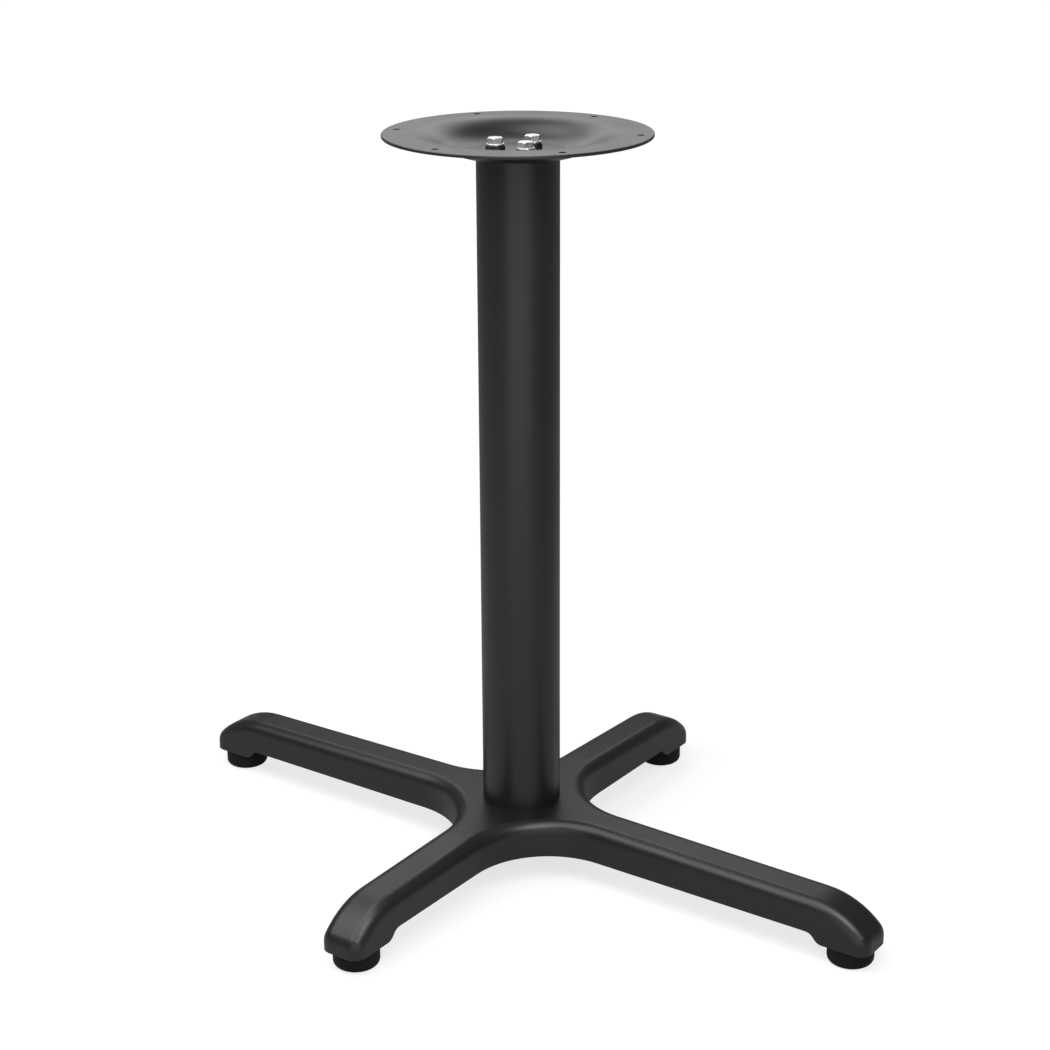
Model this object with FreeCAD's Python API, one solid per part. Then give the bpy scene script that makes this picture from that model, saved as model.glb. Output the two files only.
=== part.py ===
import FreeCAD, Part
import math
import os
from FreeCAD import Vector

# Sizes in millimetres. Z points up, the floor is Z = 0 and the column stands on the Z axis.
# The long pair of arms lies along X and the short pair along Y.

# Overall sizes
total_height = 720.0
long_reach = 393.0
short_reach = 287.0

# Pressed steel cross
sheet = 3.0
arm_width = 45.0
hub_height = 63.5
arm_fall = 3.5
web_radius = 82.0
edge_round = 12.0
bend_radius = 80.0
nose_radius = 15.0
nose_wall = 8.0
nose_low = 18.5
scallop_start = 44.0
scallop_run = 18.0
scallop_rise = 9.5
land = 2.0

# Round stiffening disc inside the hub
hub_disc_margin = 5.8
hub_disc_thick = 5.0

# Column
tube_dia = 76.0
tube_wall = 2.0
end_disc_thick = 6.0
weld_gap = 0.3

# Dished top plate
plate_dia = 245.0
plate_sheet = 3.0
dish_depth = 17.0
flange_width = 25.5
dish_floor = 42.0
rim_break = 0.6
screw_inset = 11.5
screw_hole = 6.5
screw_count = 6
plate_turn = 85.5
seat_height = 5.0
seat_margin = 1.0

# Column bolts, both ends alike
bolt_circle = 41.0
bolt_count = 3
bolt_size = 8.0
bolt_length = 25.0
bolt_head_edge = 2.5
bolt_head_high = 5.3
bolt_clear = 0.5
washer_edge = 4.0
washer_thick = 1.6
thread_gap = 0.3

# Levelling glides
glide_inset = 26.0
pad_dia = 43.4
pad_gap = 0.3
pad_low_round = 5.5
pad_top_break = 1.0
pad_socket_low = 5.0
stud_size = 10.0
stud_clear = 4.0
foot_plate_up = 3.5
foot_plate_thick = 4.0
foot_plate_back = 18.0
foot_nut_edge = 3.0
foot_nut_high = 8.0

# A cutting tool runs past the face by this much, and points this near count as one
overcut = 1.0
near = 0.01

# Sizes that follow from the others
arm_half = arm_width / 2
hub_flat = arm_half + web_radius + land
roof_under = hub_height - sheet
skirt_low = nose_low + scallop_rise
bend_high = hub_height - arm_fall - bend_radius
nose_high = nose_low + nose_wall
nose_turn = math.degrees(math.asin((nose_high - bend_high) / (bend_radius - nose_radius)))
bend_back = nose_radius + (bend_radius - nose_radius) * math.cos(math.radians(nose_turn))
hub_disc_dia = 2 * ((arm_half + web_radius) * math.sqrt(2) - web_radius - edge_round - hub_disc_margin)
floor_top = total_height - dish_depth
floor_under = floor_top - plate_sheet
flange_inner = plate_dia / 2 - flange_width
screw_circle = plate_dia - 2 * screw_inset
tube_inner = tube_dia / 2 - tube_wall
bolt_hole = bolt_size + 2 * bolt_clear
thread_hole = bolt_size + 2 * thread_gap
washer_dia = bolt_size + 2 * washer_edge
bolt_head_flats = bolt_size + 2 * bolt_head_edge
seat_dia = washer_dia + 2 * seat_margin
top_seat = floor_top + seat_height
base_seat = roof_under - hub_disc_thick
pad_top = nose_low - pad_gap
stud_hole = stud_size + 2 * thread_gap
foot_plate_low = nose_low + foot_plate_up
foot_plate_top = foot_plate_low + foot_plate_thick
foot_plate_front = glide_inset - sheet - weld_gap
foot_nut_flats = stud_size + 2 * foot_nut_edge
stud_side = bend_back - glide_inset + stud_size / 2
stud_top = bend_high + math.sqrt((bend_radius - sheet) ** 2 - stud_side ** 2) - stud_clear


def at(x, z):
    return Vector(x, 0, z)


def polar(centre, radius, degrees):
    angle = math.radians(degrees)
    return at(centre.x + radius * math.cos(angle), centre.z + radius * math.sin(angle))


def line(a, b):
    return Part.LineSegment(a, b).toShape()


def arc(a, mid, b):
    return Part.Arc(a, mid, b).toShape()


def ring_points(circle, count, turn):
    points = []
    for k in range(count):
        angle = math.radians(turn + 360.0 * k / count)
        points.append(Vector(circle / 2 * math.cos(angle), circle / 2 * math.sin(angle), 0))
    return points


def cylinder(dia, low, high, place=Vector(0, 0, 0)):
    return Part.makeCylinder(dia / 2, high - low, Vector(place.x, place.y, low))


def hexagon(flats, low, high, place, turn):
    corner = flats / math.sqrt(3)
    points = []
    for k in range(7):
        angle = math.radians(turn + 60.0 * k)
        points.append(Vector(place.x + corner * math.cos(angle), place.y + corner * math.sin(angle), low))
    face = Part.Face(Part.makePolygon(points))
    return face.extrude(Vector(0, 0, high - low))


# One arm along +X, from the column axis to its nose, as a bar with a flat side on each hand.
# The inset makes the same bar one sheet smaller all round, open at the foot, to hollow it out.
def arm_bar(reach, inset):
    nose = at(reach - nose_radius, nose_high)
    bend = at(reach - bend_back, bend_high)
    shoulder = at(hub_flat, hub_height)
    away = bend.sub(shoulder)
    fall = -math.degrees(math.atan2(away.z, away.x) + math.asin(bend_radius / away.Length))
    start = at(hub_flat - inset * math.tan(math.radians(fall / 2)), hub_height - inset)
    bend_start = polar(bend, bend_radius - inset, 90 - fall)
    bend_mid = polar(bend, bend_radius - inset, (90 - fall + nose_turn) / 2)
    bend_end = polar(bend, bend_radius - inset, nose_turn)
    nose_mid = polar(nose, nose_radius - inset, nose_turn / 2)
    nose_end = polar(nose, nose_radius - inset, 0)
    top_in = at(0, hub_height - inset)
    edges = [line(top_in, start), line(start, bend_start), arc(bend_start, bend_mid, bend_end)]
    edges.append(arc(bend_end, nose_mid, nose_end))
    if inset > 0:
        foot_out = at(reach - inset, -overcut)
        foot_in = at(0, -overcut)
        edges += [line(nose_end, foot_out), line(foot_out, foot_in), line(foot_in, top_in)]
    else:
        foot_out = at(reach, nose_low)
        run = scallop_run / 2
        drop = scallop_rise / 2
        curve = (run * run + drop * drop) / (2 * drop)
        half_turn = math.degrees(math.asin(run / curve)) / 2
        low = at(reach - scallop_start, nose_low)
        low_mid = polar(at(low.x, nose_low + curve), curve, 270 - half_turn)
        middle = at(low.x - run, nose_low + drop)
        high = at(reach - scallop_start - scallop_run, skirt_low)
        high_mid = polar(at(high.x, skirt_low - curve), curve, 90 - half_turn)
        foot_in = at(0, skirt_low)
        edges += [line(nose_end, foot_out), line(foot_out, low), arc(low, low_mid, middle)]
        edges += [arc(middle, high_mid, high), line(high, foot_in), line(foot_in, top_in)]
    half = arm_half - inset
    face = Part.Face(Part.Wire(edges))
    face.translate(Vector(0, -half, 0))
    return face.extrude(Vector(0, 2 * half, 0))


# The hub with its four hollow corners between the arms
def hub_block(inset):
    half = arm_half - inset
    curve = web_radius + inset
    centre = half + curve
    tuck = centre - curve / math.sqrt(2)
    end = centre + land / 2
    low = -overcut if inset > 0 else skirt_low
    edges = []
    for k in range(4):
        turn = FreeCAD.Rotation(Vector(0, 0, 1), 90 * k)
        points = [Vector(end, -half, low), Vector(end, half, low), Vector(centre, half, low)]
        points += [Vector(tuck, tuck, low), Vector(half, centre, low), Vector(half, end, low)]
        a, b, c, d, e, f = [turn.multVec(p) for p in points]
        edges += [line(a, b), line(b, c), arc(c, d, e), line(e, f)]
    face = Part.Face(Part.Wire(edges))
    return face.extrude(Vector(0, 0, hub_height - inset - low))


# The upper edges and the upright corners of the noses take the rounding
def is_rounded(edge, half, crown):
    mid = edge.valueAt((edge.FirstParameter + edge.LastParameter) / 2)
    side = min(abs(mid.x), abs(mid.y))
    at_tip = max(abs(mid.x) - long_reach, abs(mid.y) - short_reach) > -sheet - nose_radius
    if abs(mid.z - crown) < near and side > half + near:
        return True
    if abs(side - half) > near:
        return False
    if edge.BoundBox.XLength < near and edge.BoundBox.YLength < near:
        return at_tip
    return mid.z > near + (nose_low if at_tip else skirt_low)


def cross_body(inset):
    body = hub_block(inset)
    for reach, turns in ((long_reach, (0, 180)), (short_reach, (90, 270))):
        for turn in turns:
            bar = arm_bar(reach, inset)
            bar.rotate(Vector(0, 0, 0), Vector(0, 0, 1), turn)
            body = body.fuse(bar)
    body = body.removeSplitter()
    half = arm_half - inset
    crown = hub_height - inset
    edges = [e for e in body.Edges if is_rounded(e, half, crown)]
    return body.makeFillet(edge_round - inset, edges)


def make_cross():
    body = cross_body(0).cut(cross_body(sheet))
    for p in ring_points(bolt_circle, bolt_count, plate_turn):
        body = body.cut(cylinder(bolt_hole, roof_under - overcut, hub_height + overcut, p))
    return body


def make_hub_disc():
    disc = cylinder(hub_disc_dia, base_seat, roof_under)
    for p in ring_points(bolt_circle, bolt_count, plate_turn):
        disc = disc.cut(cylinder(bolt_hole, base_seat - overcut, roof_under + overcut, p))
    return disc


def make_tube():
    tube = cylinder(tube_dia, hub_height, floor_under)
    return tube.cut(cylinder(2 * tube_inner, hub_height - overcut, floor_under + overcut))


def make_end_disc(low):
    high = low + end_disc_thick
    disc = cylinder(2 * (tube_inner - weld_gap), low, high)
    for p in ring_points(bolt_circle, bolt_count, plate_turn):
        disc = disc.cut(cylinder(thread_hole, low - overcut, high + overcut, p))
    return disc


# The dish is turned from its section: flat flange, an S-shaped fall and a flat floor
def dish_section():
    rim = plate_dia / 2
    run = (flange_inner - dish_floor) / 2
    drop = dish_depth / 2
    curve = (run * run + drop * drop) / (2 * drop)
    turn = math.degrees(math.asin(run / curve))
    over = at(flange_inner, total_height - curve)
    under = at(dish_floor, floor_top + curve)
    low_rim = total_height - plate_sheet
    inner = curve - plate_sheet
    outer = curve + plate_sheet
    upper = [at(0, floor_top), polar(under, curve, 270), polar(under, curve, 270 + turn / 2)]
    upper += [polar(under, curve, 270 + turn), polar(over, curve, 90 + turn / 2), polar(over, curve, 90)]
    lower = [polar(over, inner, 90), polar(over, inner, 90 + turn / 2), polar(over, inner, 90 + turn)]
    lower += [polar(under, outer, 270 + turn / 2), polar(under, outer, 270), at(0, floor_under)]
    edges = [line(upper[0], upper[1]), arc(upper[1], upper[2], upper[3]), arc(upper[3], upper[4], upper[5])]
    edges += [line(upper[5], at(rim - rim_break, total_height))]
    edges += [line(at(rim - rim_break, total_height), at(rim, total_height - rim_break))]
    edges += [line(at(rim, total_height - rim_break), at(rim, low_rim + rim_break))]
    edges += [line(at(rim, low_rim + rim_break), at(rim - rim_break, low_rim))]
    edges += [line(at(rim - rim_break, low_rim), lower[0]), arc(lower[0], lower[1], lower[2])]
    edges += [arc(lower[2], lower[3], lower[4]), line(lower[4], lower[5]), line(lower[5], upper[0])]
    return Part.Face(Part.Wire(edges))


def make_top_plate():
    plate = dish_section().revolve(Vector(0, 0, 0), Vector(0, 0, 1), 360)
    for p in ring_points(screw_circle, screw_count, plate_turn):
        plate = plate.cut(cylinder(screw_hole, floor_under, total_height + overcut, p))
    for p in ring_points(bolt_circle, bolt_count, plate_turn):
        plate = plate.fuse(cylinder(seat_dia, floor_top - overcut, top_seat, p))
        hollow = cylinder(seat_dia - 2 * plate_sheet, floor_under - overcut, top_seat - plate_sheet, p)
        plate = plate.cut(hollow)
        plate = plate.cut(cylinder(bolt_hole, floor_under - overcut, top_seat + overcut, p))
    return plate.removeSplitter()


# A bolt with its head down or up: sign is +1 with the head on top
def make_bolt(p, seat, sign):
    low = seat if sign > 0 else seat - bolt_head_high
    head = hexagon(bolt_head_flats, low, low + bolt_head_high, p, plate_turn)
    end = seat - sign * bolt_length
    return head.fuse(cylinder(bolt_size, min(seat, end), max(seat, end), p))


def make_washer(p, low):
    high = low + washer_thick
    return cylinder(washer_dia, low, high, p).cut(cylinder(thread_hole, low - overcut, high + overcut, p))


def make_foot_plate(p, turn):
    half = arm_half - sheet - weld_gap
    back = -foot_plate_back
    front = foot_plate_front
    plate = Part.makeBox(front - back, 2 * half, foot_plate_thick, Vector(back, -half, foot_plate_low))
    ends = []
    for e in plate.Edges:
        if e.BoundBox.ZLength > foot_plate_thick / 2 and e.BoundBox.XMin > 0:
            ends.append(e)
    plate = plate.makeChamfer(edge_round - sheet, ends)
    plate = plate.cut(cylinder(stud_hole, foot_plate_low - overcut, foot_plate_top + overcut))
    plate.rotate(Vector(0, 0, 0), Vector(0, 0, 1), turn)
    plate.translate(p)
    return plate


def make_foot_nut(p, turn):
    high = foot_plate_top + foot_nut_high
    nut = hexagon(foot_nut_flats, foot_plate_top, high, p, turn)
    return nut.cut(cylinder(stud_hole, foot_plate_top - overcut, high + overcut, p))


# A moulded pad turned from its section, the lower round made of two flats
def make_pad(p):
    rim = pad_dia / 2
    flat = rim - pad_low_round
    knee = pad_low_round * math.sqrt(0.5)
    socket = stud_hole / 2
    points = [at(0, 0), at(flat, 0), at(flat + knee, pad_low_round - knee), at(rim, pad_low_round)]
    points += [at(rim, pad_top - pad_top_break), at(rim - pad_top_break, pad_top), at(socket, pad_top)]
    points += [at(socket, pad_socket_low), at(0, pad_socket_low), at(0, 0)]
    pad = Part.Face(Part.makePolygon(points)).revolve(Vector(0, 0, 0), Vector(0, 0, 1), 360)
    pad.translate(p)
    return pad


def make_stud(p):
    return cylinder(stud_size, pad_socket_low, stud_top, p)


os.makedirs("parts", exist_ok=True)
nodes = {}
nodes["top_plate"] = make_top_plate()
nodes["column_tube"] = make_tube()
nodes["column_top_disc"] = make_end_disc(floor_under - end_disc_thick)
nodes["column_foot_disc"] = make_end_disc(hub_height)
nodes["cross_base"] = make_cross()
nodes["hub_disc"] = make_hub_disc()

bolts = []
washers = []
for p in ring_points(bolt_circle, bolt_count, plate_turn):
    washers += [make_washer(p, top_seat), make_washer(p, base_seat - washer_thick)]
    bolts += [make_bolt(p, top_seat + washer_thick, 1), make_bolt(p, base_seat - washer_thick, -1)]
nodes["column_bolts"] = Part.makeCompound(bolts)
nodes["column_washers"] = Part.makeCompound(washers)

feet = {"right": (long_reach, 0), "back": (short_reach, 90)}
feet.update({"left": (long_reach, 180), "front": (short_reach, 270)})
nuts = []
for side, (reach, turn) in feet.items():
    place = FreeCAD.Rotation(Vector(0, 0, 1), turn).multVec(Vector(reach - glide_inset, 0, 0))
    nodes["foot_plate_" + side] = make_foot_plate(place, turn)
    nodes["glide_pad_" + side] = make_pad(place)
    nodes["glide_stud_" + side] = make_stud(place)
    nuts.append(make_foot_nut(place, turn))
nodes["foot_nuts"] = Part.makeCompound(nuts)

for name, shape in nodes.items():
    shape.exportStep("parts/" + name + ".step")
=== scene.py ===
import math

import bpy
from bpy.props import FloatProperty, FloatVectorProperty, IntProperty, PointerProperty
from bpy.types import NodeSocket, Operator, Panel, PropertyGroup
from mathutils import Matrix, Vector


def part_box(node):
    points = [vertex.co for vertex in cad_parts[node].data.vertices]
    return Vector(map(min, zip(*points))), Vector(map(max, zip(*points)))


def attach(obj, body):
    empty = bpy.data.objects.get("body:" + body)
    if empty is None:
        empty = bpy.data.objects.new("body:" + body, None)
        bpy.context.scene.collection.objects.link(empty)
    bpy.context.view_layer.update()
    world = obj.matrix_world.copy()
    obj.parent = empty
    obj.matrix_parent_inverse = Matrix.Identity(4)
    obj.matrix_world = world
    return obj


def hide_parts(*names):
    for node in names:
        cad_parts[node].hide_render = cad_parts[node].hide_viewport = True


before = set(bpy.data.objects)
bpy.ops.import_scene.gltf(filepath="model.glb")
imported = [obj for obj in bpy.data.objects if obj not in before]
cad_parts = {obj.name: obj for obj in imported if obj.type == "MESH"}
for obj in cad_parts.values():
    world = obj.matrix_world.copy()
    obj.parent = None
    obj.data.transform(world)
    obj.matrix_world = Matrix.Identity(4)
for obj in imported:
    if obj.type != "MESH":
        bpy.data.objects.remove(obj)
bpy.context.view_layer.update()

bl_info = {
    "name": "Four star table base",
    "version": (1, 0, 0),
    "blender": (4, 5, 0),
    "location": "View3D > Sidebar > Table base",
    "description": "Dresses a pressed steel table base: coat, bolts, glides and a plain stage",
    "category": "Object",
}

MM = 0.001
TINY = 0.02 * MM
SIDES = ("right", "back", "left", "front")

# A thread's depth and half the width of its ridge, as shares of the pitch
THREAD_DEPTH = 0.61
RIDGE_HALF = 0.44

# Colour sockets of a Mix node
MIX_A, MIX_B, MIX_RESULT = 6, 7, 2


class CoatSettings(PropertyGroup):
    """Finishes of the coated steel"""

    colour: FloatVectorProperty(
        name="Coat colour", description="Colour of the black powder coat",
        default=(0.0070, 0.0070, 0.0073), size=3, min=0, max=1, subtype="COLOR")
    worn_colour: FloatVectorProperty(
        name="Edge colour", description="Colour where the coat runs thin on an edge",
        default=(0.045, 0.045, 0.046), size=3, min=0, max=1, subtype="COLOR")
    roughness: FloatProperty(
        name="Coat roughness", description="Mean roughness of the coat",
        default=0.36, min=0, max=1, subtype="FACTOR")
    index: FloatProperty(
        name="Coat index", description="Refractive index of the epoxy coat", default=1.57, min=1)
    grain: FloatProperty(
        name="Grain", description="Size of one grain of the coat", default=0.9 * MM, unit="LENGTH")
    grain_height: FloatProperty(
        name="Grain height", description="Height of the coat's grain", default=0.035 * MM, unit="LENGTH")
    edge: FloatProperty(
        name="Edge width", description="Width of the thin coat along an edge",
        default=0.9 * MM, unit="LENGTH")


class BoltSettings(PropertyGroup):
    """Sizes and finish of the column's bolts and washers"""

    colour: FloatVectorProperty(
        name="Zinc colour", description="Colour of the zinc plate",
        default=(0.80, 0.81, 0.82), size=3, min=0, max=1, subtype="COLOR")
    circle: FloatProperty(
        name="Bolt circle", description="Diameter of the circle of bolts", default=41 * MM, unit="LENGTH")
    turn: FloatProperty(
        name="Turn", description="Angle of the first bolt", default=math.radians(85.5), subtype="ANGLE")
    count: IntProperty(name="Bolts", description="Bolts at each end of the column", default=3, min=1)
    size: FloatProperty(
        name="Bolt size", description="Outside diameter of the thread", default=8 * MM, unit="LENGTH")
    pitch: FloatProperty(
        name="Bolt pitch", description="Pitch of the bolt's thread", default=1.25 * MM, unit="LENGTH")
    length: FloatProperty(
        name="Bolt length", description="Length under the head", default=25 * MM, unit="LENGTH")
    flats: FloatProperty(
        name="Head", description="Head across its flats", default=13 * MM, unit="LENGTH")
    head: FloatProperty(
        name="Head height", description="Height of the head", default=5.3 * MM, unit="LENGTH")
    chamfer: FloatProperty(
        name="Head chamfer", description="Angle of the chamfer on the head",
        default=math.radians(30), subtype="ANGLE")
    washer: FloatProperty(
        name="Washer", description="Washer's diameter", default=16 * MM, unit="LENGTH")
    washer_hole: FloatProperty(
        name="Washer hole", description="Diameter of the washer's hole", default=8.6 * MM, unit="LENGTH")
    washer_thick: FloatProperty(
        name="Washer height", description="Washer's thickness", default=1.6 * MM, unit="LENGTH")
    washer_edge: FloatProperty(
        name="Washer edge", description="Rounding of the washer's edges", default=0.25 * MM, unit="LENGTH")


class GlideSettings(PropertyGroup):
    """Sizes and finish of the levelling glides and the welds above them"""

    colour: FloatVectorProperty(
        name="Pad colour", description="Colour of the moulded pad",
        default=(0.0070, 0.0070, 0.0072), size=3, min=0, max=1, subtype="COLOR")
    lower_round: FloatProperty(
        name="Lower round", description="Rounding of the pad's lower edge",
        default=5.5 * MM, unit="LENGTH")
    top_round: FloatProperty(
        name="Top round", description="Rounding of the pad's upper edge", default=1.0 * MM, unit="LENGTH")
    socket: FloatProperty(
        name="Socket", description="Diameter of the socket for the stud",
        default=10.6 * MM, unit="LENGTH")
    socket_floor: FloatProperty(
        name="Socket floor", description="Thickness of the pad under the socket",
        default=5 * MM, unit="LENGTH")
    recess_rim: FloatProperty(
        name="Recess rim", description="Width of the flat rim under the pad",
        default=2.5 * MM, unit="LENGTH")
    recess: FloatProperty(
        name="Recess", description="Depth of the recess under the pad", default=0.6 * MM, unit="LENGTH")
    pitch: FloatProperty(
        name="Stud pitch", description="Pitch of the stud's thread", default=1.5 * MM, unit="LENGTH")
    weld_width: FloatProperty(
        name="Weld width", description="Width of the welds on the foot plates",
        default=3.4 * MM, unit="LENGTH")
    weld_length: FloatProperty(
        name="Weld length", description="Length of the welds on the foot plates",
        default=20 * MM, unit="LENGTH")
    weld_step: FloatProperty(
        name="Weld step", description="Distance between the drops of a weld",
        default=1.5 * MM, unit="LENGTH")


class StageSettings(PropertyGroup):
    """Camera, floor and lights"""

    camera_place: FloatVectorProperty(
        name="Camera place", description="Place of the camera",
        default=(1.1559, -1.6238, 1.0533), size=3, subtype="TRANSLATION", unit="LENGTH")
    camera_turn: FloatProperty(
        name="Camera turn", description="Turn of the camera about the column",
        default=math.radians(35.31), subtype="ANGLE")
    camera_dip: FloatProperty(
        name="Camera dip", description="Angle at which the camera looks down",
        default=math.radians(19.51), subtype="ANGLE")
    camera_roll: FloatProperty(
        name="Camera roll", description="Roll of the camera",
        default=math.radians(-0.29), subtype="ANGLE")
    lens: FloatProperty(name="Lens", description="Focal length in millimetres", default=76.27)
    film: FloatProperty(name="Film", description="Width of the film in millimetres", default=36)
    view_reach: FloatProperty(
        name="View reach", description="How far the camera sees", default=200, unit="LENGTH")
    floor_size: FloatProperty(
        name="Floor size", description="Length of the floor's sides", default=300, unit="LENGTH")
    floor_colour: FloatVectorProperty(
        name="Floor colour", description="Colour of the floor",
        default=(0.32, 0.32, 0.32), size=3, min=0, max=1, subtype="COLOR")
    near_glow: FloatProperty(
        name="Near glow", description="Light that the floor adds round the object where it shows",
        default=0.74, min=0, max=1)
    far_glow: FloatProperty(
        name="Far glow", description="Light that the floor adds far off where it shows",
        default=0.96, min=0, max=1)
    near_reach: FloatProperty(
        name="Near reach", description="Distance at which the near glow ends", default=0.3, unit="LENGTH")
    far_reach: FloatProperty(
        name="Far reach", description="Distance at which the far glow starts", default=2.2, unit="LENGTH")
    mirror_glow: FloatProperty(
        name="Mirrored glow", description="Share of the glow that shows in a gloss",
        default=0.18, min=0, max=1, subtype="FACTOR")
    sky: FloatProperty(name="Sky", description="Level of the light all round", default=0.17, min=0)
    over_power: FloatProperty(
        name="Overhead light", description="Power of the overhead light", default=18, unit="POWER")
    side_power: FloatProperty(
        name="Side light", description="Power of the light on the right", default=10, unit="POWER")
    back_power: FloatProperty(
        name="Back light", description="Power of the light behind", default=5.4, unit="POWER")
    front_power: FloatProperty(
        name="Front light", description="Power of the light in front", default=2.2, unit="POWER")


class TableBaseSettings(PropertyGroup):
    """All that a user would change on the table base"""

    coat: PointerProperty(type=CoatSettings)
    bolts: PointerProperty(type=BoltSettings)
    glides: PointerProperty(type=GlideSettings)
    stage: PointerProperty(type=StageSettings)


# Selecting and finishing

def deselect():
    """Leaves nothing selected"""
    bpy.ops.object.select_all(action="DESELECT")


def take(*pieces):
    """Selects only these pieces and makes the first one active"""
    deselect()
    for piece in pieces:
        piece.select_set(True)
    bpy.context.view_layer.objects.active = pieces[0]


def settle():
    """Moves the place, turn and scale of what is selected into its mesh"""
    bpy.ops.object.transform_apply(location=True, rotation=True, scale=True)


def pick(piece, kind, test):
    """Opens edit mode with the edges or faces chosen whose corners all pass the test"""
    bpy.ops.object.mode_set(mode="OBJECT")
    mesh = piece.data
    for group in (mesh.vertices, mesh.edges, mesh.polygons):
        group.foreach_set("select", [False] * len(group))
    bpy.context.tool_settings.mesh_select_mode = (False, kind == "edges", kind == "faces")
    for item in mesh.edges if kind == "edges" else mesh.polygons:
        item.select = all(test(mesh.vertices[i].co) for i in item.vertices)
    bpy.ops.object.mode_set(mode="EDIT")


def close_mesh(piece, angle):
    """Points the faces outwards and smooths edges under the angle, given in degrees"""
    take(piece)
    bpy.ops.object.mode_set(mode="EDIT")
    bpy.ops.mesh.select_all(action="SELECT")
    bpy.ops.mesh.normals_make_consistent(inside=False)
    bpy.ops.object.mode_set(mode="OBJECT")
    bpy.ops.object.shade_smooth_by_angle(angle=math.radians(angle))


def apply_all(piece):
    """Applies a piece's modifiers in their order"""
    take(piece)
    for modifier in list(piece.modifiers):
        bpy.ops.object.modifier_apply(modifier=modifier.name)


def copy_to(piece, place, turn=(0, 0, 0)):
    """Copies a piece, with a mesh of its own, to a place and a turn"""
    take(piece)
    bpy.ops.object.duplicate()
    twin = bpy.context.object
    twin.location = place
    twin.rotation_euler = turn
    settle()
    return twin


def join(pieces, name):
    """Makes several pieces one"""
    take(*pieces)
    bpy.ops.object.join()
    piece = bpy.context.object
    piece.name = name
    piece.data.name = name
    return piece


def drop(piece):
    """Deletes a pattern that has been copied"""
    take(piece)
    bpy.ops.object.delete()


def seat(piece, body, slot, material, *nodes):
    """Gives a finished piece its finish and its body, and hides the solids it stands for"""
    piece.data.materials.clear()
    piece.data.materials.append(material)
    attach(piece, body)
    if nodes:
        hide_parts(*nodes)


def coat_node(node, material):
    """Gives a solid its finish"""
    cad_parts[node].material_slots[0].material = material


# Nodes of the finishes

def shared(store, name, maker, *given):
    """The material or node group of that name, made when it is first asked for"""
    return store.get(name) or maker(name, *given)


def feed(tree, value, socket):
    """Links a socket to a value that comes from a node, and otherwise sets it"""
    if isinstance(value, NodeSocket):
        tree.links.new(value, socket)
    else:
        socket.default_value = value


def maths(tree, operation, a, b):
    """The result of an operation on two values"""
    node = tree.nodes.new("ShaderNodeMath")
    node.operation = operation
    feed(tree, a, node.inputs[0])
    feed(tree, b, node.inputs[1])
    return node.outputs["Value"]


def noise(tree, scale, detail=3.0, rough=0.55, stretch=None):
    """Noise on the piece's own coordinates, in grains to the metre"""
    place = tree.nodes.new("ShaderNodeTexCoord").outputs["Object"]
    if stretch:
        mapping = tree.nodes.new("ShaderNodeMapping")
        mapping.inputs["Scale"].default_value = stretch
        tree.links.new(place, mapping.inputs["Vector"])
        place = mapping.outputs["Vector"]
    node = tree.nodes.new("ShaderNodeTexNoise")
    node.inputs["Detail"].default_value = detail
    node.inputs["Roughness"].default_value = rough
    tree.links.new(place, node.inputs["Vector"])
    feed(tree, scale, node.inputs["Scale"])
    return node.outputs["Fac"]


def map_range(tree, value, low, high, to_low, to_high):
    """Maps a value from one range to another, held at the ends"""
    node = tree.nodes.new("ShaderNodeMapRange")
    limits = (("From Min", low), ("From Max", high), ("To Min", to_low), ("To Max", to_high))
    for label, number in limits:
        node.inputs[label].default_value = number
    tree.links.new(value, node.inputs["Value"])
    return node.outputs["Result"]


def blend(tree, mask, dark, light):
    """A colour that goes from dark to light with a mask"""
    mix = tree.nodes.new("ShaderNodeMix")
    mix.data_type = "RGBA"
    tree.links.new(mask, mix.inputs["Factor"])
    feed(tree, dark, mix.inputs[MIX_A])
    feed(tree, light, mix.inputs[MIX_B])
    return mix.outputs[MIX_RESULT]


def tint(colour, share=1.0):
    """A share of a colour, as a shader takes it"""
    return (*(Vector(colour) * share), 1)


def new_group(name, inputs, outputs):
    """An empty node group with its named sockets"""
    group = bpy.data.node_groups.new(name, "ShaderNodeTree")
    for label, value in inputs:
        socket = group.interface.new_socket(label, in_out="INPUT", socket_type="NodeSocketFloat")
        socket.default_value = value
    for label in outputs:
        group.interface.new_socket(label, in_out="OUTPUT", socket_type="NodeSocketFloat")
    return group, group.nodes.new("NodeGroupInput"), group.nodes.new("NodeGroupOutput")


def grain_group(name):
    """Fine grain with broad clouds: a height for bumps and a spread for roughness"""
    fine_share, broad_share = 0.35, 0.65
    group, given, made = new_group(name, (("Grain", 1 * MM), ("Clouds", 14.0)), ("Height", "Spread"))
    count = maths(group, "DIVIDE", 1.0, given.outputs["Grain"])
    fine = noise(group, count, detail=2.0, rough=0.6)
    broad = noise(group, given.outputs["Clouds"], detail=4.0)
    spread = maths(group, "ADD", maths(group, "MULTIPLY", fine, fine_share),
                   maths(group, "MULTIPLY", broad, broad_share))
    group.links.new(fine, made.inputs["Height"])
    group.links.new(spread, made.inputs["Spread"])
    return group


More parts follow.
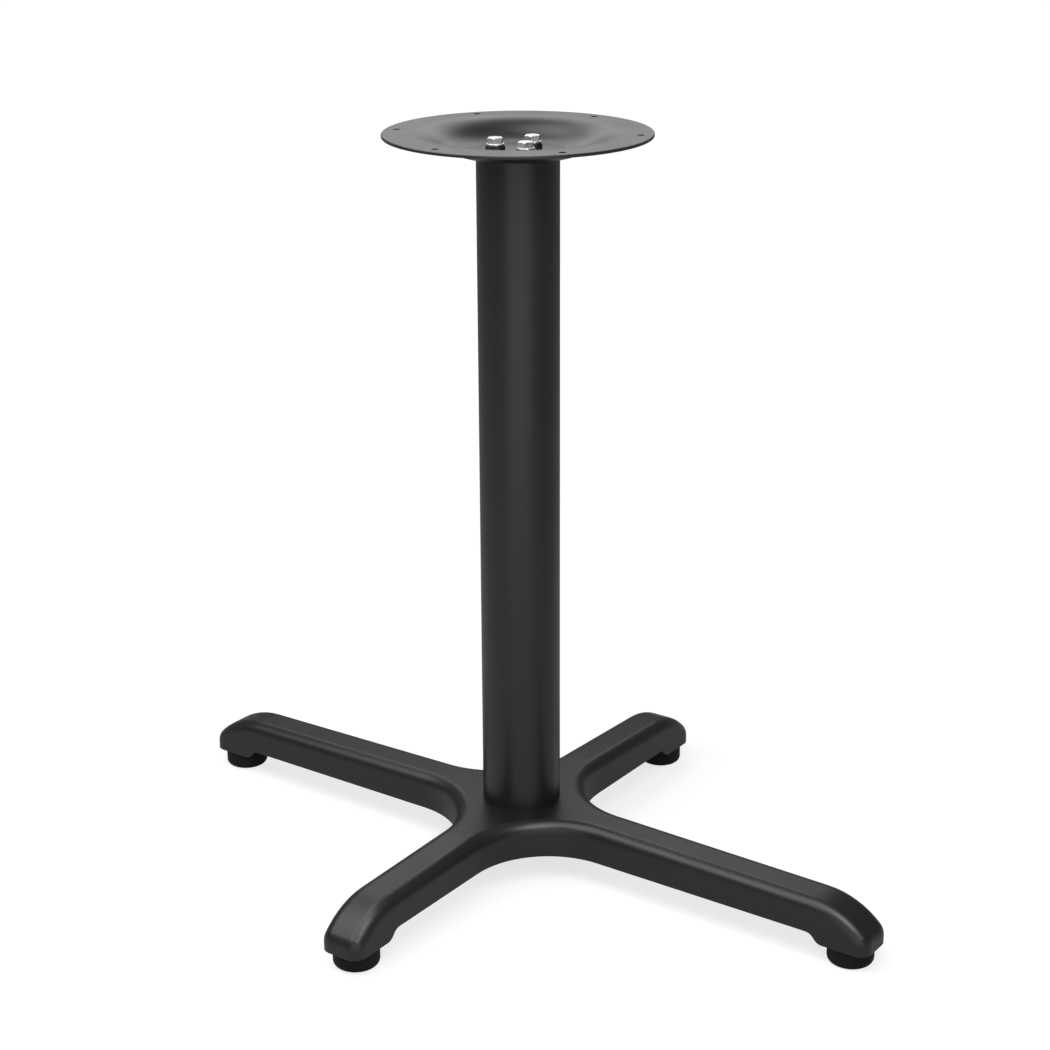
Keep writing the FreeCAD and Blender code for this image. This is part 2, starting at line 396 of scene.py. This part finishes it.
def edge_group(name):
    """Mask of the edges, broken up by noise, where a finish wears thin"""
    chips, gain = 240.0, 6.0
    group, given, made = new_group(name, (("Width", 1 * MM), ("Amount", 1.0)), ("Mask",))
    soft = group.nodes.new("ShaderNodeBevel")
    soft.samples = 6
    group.links.new(given.outputs["Width"], soft.inputs["Radius"])
    flat = group.nodes.new("ShaderNodeNewGeometry")
    dot = group.nodes.new("ShaderNodeVectorMath")
    dot.operation = "DOT_PRODUCT"
    group.links.new(soft.outputs["Normal"], dot.inputs[0])
    group.links.new(flat.outputs["Normal"], dot.inputs[1])
    turn = maths(group, "SUBTRACT", 1.0, dot.outputs["Value"])
    broken = maths(group, "MULTIPLY", turn, maths(group, "MULTIPLY", noise(group, chips), gain))
    amount = maths(group, "MULTIPLY", broken, given.outputs["Amount"])
    group.links.new(maths(group, "MINIMUM", amount, 1.0), made.inputs["Mask"])
    return group


def place_group(tree, name, maker, **values):
    """Places a shared effect in a material with its own values"""
    node = tree.nodes.new("ShaderNodeGroup")
    node.node_tree = shared(bpy.data.node_groups, name, maker)
    for label, value in values.items():
        node.inputs[label].default_value = value
    return node


def place_grain(tree, size, clouds):
    """Places the fine grain, of a size and with so many clouds to the metre"""
    node = place_group(tree, "Fine grain", grain_group, Grain=size, Clouds=clouds)
    return node.outputs["Height"], node.outputs["Spread"]


def place_wear(tree, width, amount):
    """Places the edge wear"""
    return place_group(tree, "Edge wear", edge_group, Width=width, Amount=amount).outputs["Mask"]


def set_roughness(tree, shader, spread, low, high):
    """Lets the roughness go from low to high over the middle of the grain's spread"""
    middle = (0.3, 0.7)
    tree.links.new(map_range(tree, spread, *middle, low, high), shader.inputs["Roughness"])


def raise_bump(tree, shader, height, distance, strength):
    """Raises the surface by a height"""
    bump = tree.nodes.new("ShaderNodeBump")
    bump.inputs["Strength"].default_value = strength
    bump.inputs["Distance"].default_value = distance
    tree.links.new(height, bump.inputs["Height"])
    tree.links.new(bump.outputs["Normal"], shader.inputs["Normal"])


def new_finish(name):
    """An empty material with its nodes and its shader"""
    material = bpy.data.materials.new(name)
    material.use_nodes = True
    tree = material.node_tree
    return material, tree, tree.nodes["Principled BSDF"]


# Finishes

def coat_finish(name, coat):
    """Satin black powder coat, fine grained, a little thin on the edges"""
    material, tree, shader = new_finish(name)
    height, spread = place_grain(tree, size=coat.grain, clouds=14.0)
    tone = blend(tree, spread, tint(coat.colour, share=0.8), tint(coat.colour, share=1.25))
    worn = blend(tree, place_wear(tree, width=coat.edge, amount=1.0), tone, tint(coat.worn_colour))
    tree.links.new(worn, shader.inputs["Base Color"])
    set_roughness(tree, shader, spread, low=coat.roughness - 0.05, high=coat.roughness + 0.06)
    raise_bump(tree, shader, height, distance=coat.grain_height, strength=0.5)
    shader.inputs["IOR"].default_value = coat.index
    return material


def zinc_finish(name, bolts):
    """Bright zinc plate with faint drawn lines"""
    material, tree, shader = new_finish(name)
    spread = place_grain(tree, size=0.5 * MM, clouds=160.0)[1]
    tree.links.new(blend(tree, spread, tint(bolts.colour, share=0.82), tint(bolts.colour, share=1.1)),
                   shader.inputs["Base Color"])
    set_roughness(tree, shader, spread, low=0.22, high=0.40)
    lines = noise(tree, scale=900.0, detail=2.0, rough=0.5, stretch=(1, 1, 6))
    raise_bump(tree, shader, lines, distance=0.02 * MM, strength=0.35)
    shader.inputs["Metallic"].default_value = 1.0
    return material


def pad_finish(name, glides):
    """Moulded black plastic, matt, with a little scuffing on its edges"""
    material, tree, shader = new_finish(name)
    height, spread = place_grain(tree, size=0.6 * MM, clouds=60.0)
    wear = place_wear(tree, width=0.8 * MM, amount=0.6)
    tree.links.new(blend(tree, wear, tint(glides.colour), tint(glides.colour, share=2.2)),
                   shader.inputs["Base Color"])
    set_roughness(tree, shader, spread, low=0.48, high=0.64)
    raise_bump(tree, shader, height, distance=0.03 * MM, strength=0.4)
    shader.inputs["Specular IOR Level"].default_value = 0.2
    return material


def steel_finish(name):
    """Plain rolled steel with a dull skin"""
    dark, light = (0.20, 0.20, 0.21), (0.46, 0.46, 0.47)
    material, tree, shader = new_finish(name)
    height, spread = place_grain(tree, size=0.7 * MM, clouds=45.0)
    tree.links.new(blend(tree, spread, tint(dark), tint(light)), shader.inputs["Base Color"])
    set_roughness(tree, shader, spread, low=0.38, high=0.62)
    raise_bump(tree, shader, height, distance=0.03 * MM, strength=0.4)
    shader.inputs["Metallic"].default_value = 1.0
    return material


def black_coat(settings):
    return shared(bpy.data.materials, "Black powder coat", coat_finish, settings.coat)


def zinc_plate(settings):
    return shared(bpy.data.materials, "Bright zinc plate", zinc_finish, settings.bolts)


def black_plastic(settings):
    return shared(bpy.data.materials, "Moulded black plastic", pad_finish, settings.glides)


def bare_steel():
    return shared(bpy.data.materials, "Rolled steel", steel_finish)


# Shapes

def threaded_rod(size, length, pitch):
    """A rod standing on the origin, with a cut end on top and a ridge wound round it"""
    depth = THREAD_DEPTH * pitch
    core = size / 2 - depth
    bpy.ops.mesh.primitive_cylinder_add(
        vertices=48, radius=core, depth=length, location=(0, 0, length / 2))
    rod = bpy.context.object
    settle()
    pick(rod, "edges", lambda p: p.z > length - TINY)
    bpy.ops.mesh.bevel(offset=depth, segments=1, affect="EDGES")
    bpy.ops.object.mode_set(mode="OBJECT")
    deselect()
    stand = Matrix(((0, 1, 0), (0, 0, 1), (1, 0, 0))).to_euler()
    # An even triangle is one and a half times as high as its circle's radius
    reach = depth / 1.5
    first_turn = 0.6 * pitch
    bare_turns = 1.4
    bpy.ops.mesh.primitive_circle_add(
        vertices=3, radius=reach, rotation=stand, location=(core + reach / 2 - TINY, 0, first_turn))
    ridge = bpy.context.object
    ridge.scale = (RIDGE_HALF * pitch / (reach * math.sin(math.radians(60))), 1, 1)
    settle()
    winding = ridge.modifiers.new("Winding", "SCREW")
    winding.axis = "Z"
    winding.angle = 2 * math.pi
    winding.screw_offset = pitch
    winding.iterations = int(length / pitch - bare_turns)
    winding.steps = 32
    winding.render_steps = 32
    apply_all(ridge)
    bpy.ops.object.mode_set(mode="EDIT")
    bpy.ops.mesh.select_all(action="SELECT")
    bpy.ops.mesh.fill_holes(sides=4)
    bpy.ops.object.mode_set(mode="OBJECT")
    rod = join([rod, ridge], "rod")
    close_mesh(rod, angle=30)
    return rod


def hexagon_head(flats, height, chamfer):
    """A hexagon head on a washer face, its top corners turned off at the chamfer's angle"""
    corner = flats / math.sqrt(3)
    top = 0.475 * flats
    rise = 2 * height
    face_height, face_shows = 0.5 * MM, 0.3 * MM
    bpy.ops.mesh.primitive_cylinder_add(
        vertices=6, radius=corner, depth=height, location=(0, 0, height / 2))
    head = bpy.context.object
    settle()
    deselect()
    bpy.ops.mesh.primitive_cone_add(
        vertices=96, radius1=top + rise / math.tan(chamfer), radius2=top, depth=rise,
        location=(0, 0, height - rise / 2))
    cone = bpy.context.object
    settle()
    turned = head.modifiers.new("Turned", "BOOLEAN")
    turned.operation = "INTERSECT"
    turned.solver = "EXACT"
    turned.object = cone
    apply_all(head)
    drop(cone)
    deselect()
    bpy.ops.mesh.primitive_cylinder_add(
        vertices=64, radius=top, depth=face_height, location=(0, 0, face_height / 2))
    face = bpy.context.object
    settle()
    pick(head, "faces", lambda p: p.z < TINY)
    bpy.ops.transform.translate(value=(0, 0, face_shows))
    bpy.ops.object.mode_set(mode="OBJECT")
    head = join([head, face], "head")
    close_mesh(head, angle=12)
    return head


def flat_ring(outer, inner, thick, soften):
    """A washer standing on the origin with its edges softened"""
    bpy.ops.mesh.primitive_circle_add(vertices=72, radius=outer, fill_type="NGON")
    ring = bpy.context.object
    pick(ring, "faces", lambda p: True)
    bpy.ops.mesh.inset(thickness=outer - inner, depth=0)
    bpy.ops.mesh.delete(type="FACE")
    bpy.ops.object.mode_set(mode="OBJECT")
    wall = ring.modifiers.new("Wall", "SOLIDIFY")
    wall.thickness = thick
    wall.offset = 1
    edge = ring.modifiers.new("Edge", "BEVEL")
    edge.width = soften
    edge.segments = 3
    edge.limit_method = "ANGLE"
    apply_all(ring)
    low = min(v.co.z for v in ring.data.vertices)
    ring.location = (0, 0, -low)
    settle()
    close_mesh(ring, angle=40)
    return ring


def moulded_pad(low, high, sizes):
    """A pad with a rounded lower edge and a socket for the stud, from its solid's two corners"""
    radius = (high.x - low.x) / 2
    bpy.ops.mesh.primitive_cylinder_add(
        vertices=112, radius=radius, depth=high.z - low.z, location=(low + high) / 2)
    pad = bpy.context.object
    settle()
    pick(pad, "edges", lambda p: p.z < low.z + TINY)
    bpy.ops.mesh.bevel(offset=sizes.lower_round, segments=10, profile=0.5, affect="EDGES")
    pick(pad, "edges", lambda p: p.z > high.z - TINY)
    bpy.ops.mesh.bevel(offset=sizes.top_round, segments=4, profile=0.5, affect="EDGES")
    pick(pad, "faces", lambda p: p.z > high.z - TINY)
    bpy.ops.mesh.inset(thickness=radius - sizes.top_round - sizes.socket / 2, depth=0)
    fall = low.z + sizes.socket_floor - high.z
    bpy.ops.mesh.extrude_region_move(TRANSFORM_OT_translate={"value": (0, 0, fall)})
    pick(pad, "faces", lambda p: p.z < low.z + TINY)
    bpy.ops.mesh.inset(thickness=sizes.recess_rim, depth=0)
    bpy.ops.mesh.inset(thickness=sizes.recess, depth=-sizes.recess)
    bpy.ops.object.mode_set(mode="OBJECT")
    close_mesh(pad, angle=35)
    return pad


def weld_bead(length, width, step):
    """A run of overlapping drops along X, lying on the origin"""
    squash = (0.8, 1.0, 0.55)
    bpy.ops.mesh.primitive_uv_sphere_add(segments=20, ring_count=12, radius=width / 2)
    bead = bpy.context.object
    bead.scale = squash
    settle()
    run = bead.modifiers.new("Run", "ARRAY")
    run.use_relative_offset = False
    run.use_constant_offset = True
    run.constant_offset_displace = (step, 0, 0)
    run.count = int(length / step)
    apply_all(bead)
    bead.location = (-length / 2, 0, 0)
    settle()
    close_mesh(bead, angle=60)
    return bead


# Pieces

def bolt_places(sizes):
    """The place on the plan and the angle of each bolt on its circle"""
    for k in range(sizes.count):
        angle = sizes.turn + 2 * math.pi * k / sizes.count
        yield sizes.circle / 2 * math.cos(angle), sizes.circle / 2 * math.sin(angle), angle


class TABLEBASE_OT_steelwork(Operator):
    """Coats the cross, the column, the top plate and the small plates"""

    bl_idname = "table_base.steelwork"
    bl_label = "Coat the steelwork"

    def execute(self, context):
        coat = black_coat(context.scene.table_base)
        for node in ("cross_base", "column_tube", "top_plate", "hub_disc"):
            coat_node(node, coat)
        for side in SIDES:
            coat_node("foot_plate_" + side, coat)
        for node in ("column_top_disc", "column_foot_disc"):
            coat_node(node, bare_steel())
        return {"FINISHED"}


class TABLEBASE_OT_bolts(Operator):
    """Makes the hexagon bolts at both ends of the column"""

    bl_idname = "table_base.bolts"
    bl_label = "Make the bolts"

    def execute(self, context):
        settings = context.scene.table_base
        sizes = settings.bolts
        low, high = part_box("column_bolts")
        deselect()
        head = hexagon_head(sizes.flats, sizes.head, sizes.chamfer)
        deselect()
        rod = threaded_rod(sizes.size, sizes.length, sizes.pitch)
        rod.rotation_euler = (math.pi, 0, 0)
        take(rod)
        settle()
        pattern = join([head, rod], "bolt pattern")
        bolts = []
        for x, y, angle in bolt_places(sizes):
            bolts.append(copy_to(pattern, (x, y, high.z - sizes.head), (0, 0, angle)))
            bolts.append(copy_to(pattern, (x, y, low.z + sizes.head), (math.pi, 0, angle)))
        drop(pattern)
        seat(join(bolts, "bolts"), "base", "zinc_plate", zinc_plate(settings), "column_bolts")
        return {"FINISHED"}


class TABLEBASE_OT_washers(Operator):
    """Makes the plain washers under the bolts"""

    bl_idname = "table_base.washers"
    bl_label = "Make the washers"

    def execute(self, context):
        settings = context.scene.table_base
        sizes = settings.bolts
        low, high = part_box("column_washers")
        deselect()
        pattern = flat_ring(
            sizes.washer / 2, sizes.washer_hole / 2, sizes.washer_thick, sizes.washer_edge)
        washers = []
        for x, y, _ in bolt_places(sizes):
            washers.append(copy_to(pattern, (x, y, high.z - sizes.washer_thick)))
            washers.append(copy_to(pattern, (x, y, low.z)))
        drop(pattern)
        seat(join(washers, "washers"), "base", "zinc_plate", zinc_plate(settings), "column_washers")
        return {"FINISHED"}


class TABLEBASE_OT_foot_welds(Operator):
    """Plates the nuts and lays the welds that hold the foot plates in the noses"""

    bl_idname = "table_base.foot_welds"
    bl_label = "Lay the foot welds"

    def execute(self, context):
        settings = context.scene.table_base
        sizes = settings.glides
        coat_node("foot_nuts", zinc_plate(settings))
        deselect()
        pattern = weld_bead(sizes.weld_length, sizes.weld_width, sizes.weld_step)
        welds = []
        for side in SIDES:
            low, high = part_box("foot_plate_" + side)
            stud_low, stud_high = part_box("glide_stud_" + side)
            centre = (stud_low + stud_high) / 2
            along_x = side in ("right", "left")
            across = Vector((0, high.y - low.y, 0)) if along_x else Vector((high.x - low.x, 0, 0))
            for hand in (-1, 1):
                place = Vector((centre.x, centre.y, low.z)) + hand * across / 2
                welds.append(copy_to(pattern, place, (0, 0, 0 if along_x else math.pi / 2)))
        drop(pattern)
        seat(join(welds, "foot_welds"), "base", "black_coat", black_coat(settings))
        return {"FINISHED"}


class TABLEBASE_OT_glide_pads(Operator):
    """Makes the moulded pads of the glides"""

    bl_idname = "table_base.glide_pads"
    bl_label = "Make the glide pads"

    def execute(self, context):
        settings = context.scene.table_base
        for side in SIDES:
            node = "glide_pad_" + side
            deselect()
            pad = moulded_pad(*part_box(node), settings.glides)
            pad.name = "pad_" + side
            seat(pad, "glide_" + side, "black_plastic", black_plastic(settings), node)
        return {"FINISHED"}


class TABLEBASE_OT_glide_studs(Operator):
    """Makes the threaded studs of the glides"""

    bl_idname = "table_base.glide_studs"
    bl_label = "Make the glide studs"

    def execute(self, context):
        settings = context.scene.table_base
        low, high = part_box("glide_stud_right")
        deselect()
        pattern = threaded_rod(high.x - low.x, high.z - low.z, settings.glides.pitch)
        for side in SIDES:
            node = "glide_stud_" + side
            low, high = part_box(node)
            stud = copy_to(pattern, ((low.x + high.x) / 2, (low.y + high.y) / 2, low.z))
            stud.name = "stud_" + side
            seat(stud, "glide_" + side, "zinc_plate", zinc_plate(settings), node)
        drop(pattern)
        return {"FINISHED"}


class TABLEBASE_OT_stage(Operator):
    """Sets up the camera, the floor, the lights and the room"""

    bl_idname = "table_base.stage"
    bl_label = "Set up the stage"

    def camera(self, settings):
        bpy.ops.object.camera_add(location=settings.camera_place)
        camera = bpy.context.object
        camera.name = "camera"
        turn = Matrix.Rotation(settings.camera_turn, 3, "Z")
        dip = Matrix.Rotation(math.pi / 2 - settings.camera_dip, 3, "X")
        roll = Matrix.Rotation(settings.camera_roll, 3, "Z")
        camera.rotation_mode = "QUATERNION"
        camera.rotation_quaternion = (turn @ dip @ roll).to_quaternion()
        camera.data.sensor_width = settings.film
        camera.data.lens = settings.lens
        camera.data.clip_end = settings.view_reach
        bpy.context.scene.camera = camera

    def shown(self, tree, settings):
        """Share of a glow that a ray sees: all for the camera and through glass, part of it in a gloss"""
        rays = tree.nodes.new("ShaderNodeLightPath")
        mirrored = maths(tree, "MULTIPLY", rays.outputs["Is Glossy Ray"], settings.mirror_glow)
        seen = maths(tree, "MAXIMUM", rays.outputs["Is Camera Ray"], mirrored)
        return maths(tree, "MAXIMUM", seen, rays.outputs["Is Transmission Ray"])

    def floor_finish(self, name, settings):
        """A pale floor that glows where it shows, keeps its shadows and is clear from below"""
        material, tree, shader = new_finish(name)
        shader.inputs["Base Color"].default_value = tint(settings.floor_colour)
        shader.inputs["Roughness"].default_value = 0.9
        shader.inputs["Specular IOR Level"].default_value = 0.1
        reach = tree.nodes.new("ShaderNodeVectorMath")
        reach.operation = "LENGTH"
        tree.links.new(tree.nodes.new("ShaderNodeTexCoord").outputs["Object"], reach.inputs[0])
        level = map_range(tree, reach.outputs["Value"], settings.near_reach, settings.far_reach,
                          settings.near_glow, settings.far_glow)
        glow = tree.nodes.new("ShaderNodeEmission")
        tree.links.new(maths(tree, "MULTIPLY", self.shown(tree, settings), level),
                       glow.inputs["Strength"])
        lit = tree.nodes.new("ShaderNodeAddShader")
        tree.links.new(shader.outputs["BSDF"], lit.inputs[0])
        tree.links.new(glow.outputs["Emission"], lit.inputs[1])
        sides = tree.nodes.new("ShaderNodeMixShader")
        tree.links.new(tree.nodes.new("ShaderNodeNewGeometry").outputs["Backfacing"], sides.inputs[0])
        tree.links.new(lit.outputs["Shader"], sides.inputs[1])
        tree.links.new(tree.nodes.new("ShaderNodeBsdfTransparent").outputs["BSDF"], sides.inputs[2])
        tree.links.new(sides.outputs["Shader"], tree.nodes["Material Output"].inputs["Surface"])
        return material

    def floor(self, settings):
        deselect()
        bpy.ops.mesh.primitive_plane_add(size=settings.floor_size, location=(0, 0, 0))
        floor = bpy.context.object
        floor.name = "floor"
        floor.data.materials.append(self.floor_finish("Pale floor", settings))

    def lamp(self, name, place, target, size, power):
        bpy.ops.object.light_add(type="AREA", location=place)
        lamp = bpy.context.object
        lamp.name = name
        lamp.data.shape = "RECTANGLE"
        lamp.data.size, lamp.data.size_y = size
        lamp.data.energy = power
        lamp.rotation_mode = "QUATERNION"
        lamp.rotation_quaternion = (Vector(target) - Vector(place)).to_track_quat("-Z", "Y")
        lamp.visible_camera = False

    def room(self, scene, settings):
        scene.world = bpy.data.worlds.new("Soft room")
        scene.world.use_nodes = True
        tree = scene.world.node_tree
        background = tree.nodes["Background"]
        background.inputs["Color"].default_value = (1, 1, 1, 1)
        tree.links.new(maths(tree, "MAXIMUM", self.shown(tree, settings), settings.sky),
                       background.inputs["Strength"])

    def execute(self, context):
        settings = context.scene.table_base.stage
        self.camera(settings)
        self.floor(settings)
        self.lamp("overhead light", place=(-0.35, -0.58, 1.30), target=(-0.20, -0.34, 0),
                  size=(1.5, 1.55), power=settings.over_power)
        self.lamp("side light", place=(0.85, -0.62, 1.30), target=(0.1, -0.1, 0.05),
                  size=(0.8, 0.8), power=settings.side_power)
        self.lamp("back light", place=(-0.85, 1.2, 1.40), target=(0, 0, 0.72),
                  size=(1.4, 0.8), power=settings.back_power)
        self.lamp("front light", place=(0.74, -1.0, 0.32), target=(0, 0, 0.32),
                  size=(1.6, 0.6), power=settings.front_power)
        self.room(context.scene, settings)
        context.scene.view_settings.view_transform = "Standard"
        return {"FINISHED"}


class TABLEBASE_PT_panel(Panel):
    """Lists the steps and the sizes of the table base"""

    bl_idname = "TABLEBASE_PT_panel"
    bl_label = "Table base"
    bl_space_type = "VIEW_3D"
    bl_region_type = "UI"
    bl_category = "Table base"

    def draw(self, context):
        settings = context.scene.table_base
        for step in STEPS:
            self.layout.operator(step.bl_idname)
        for group in (settings.coat, settings.bolts, settings.glides, settings.stage):
            box = self.layout.box()
            for name in group.__annotations__:
                box.prop(group, name)


GROUPS = (CoatSettings, BoltSettings, GlideSettings, StageSettings, TableBaseSettings)
STEPS = (
    TABLEBASE_OT_steelwork, TABLEBASE_OT_bolts, TABLEBASE_OT_washers, TABLEBASE_OT_foot_welds,
    TABLEBASE_OT_glide_pads, TABLEBASE_OT_glide_studs, TABLEBASE_OT_stage)
CLASSES = (*GROUPS, *STEPS, TABLEBASE_PT_panel)


def register():
    for part in CLASSES:
        bpy.utils.register_class(part)
    bpy.types.Scene.table_base = PointerProperty(type=TableBaseSettings)


def unregister():
    del bpy.types.Scene.table_base
    for part in reversed(CLASSES):
        bpy.utils.unregister_class(part)


def main():
    register()
    bpy.ops.table_base.steelwork()
    bpy.ops.table_base.bolts()
    bpy.ops.table_base.washers()
    bpy.ops.table_base.foot_welds()
    bpy.ops.table_base.glide_pads()
    bpy.ops.table_base.glide_studs()
    bpy.ops.table_base.stage()


if __name__ == "__main__":
    main()
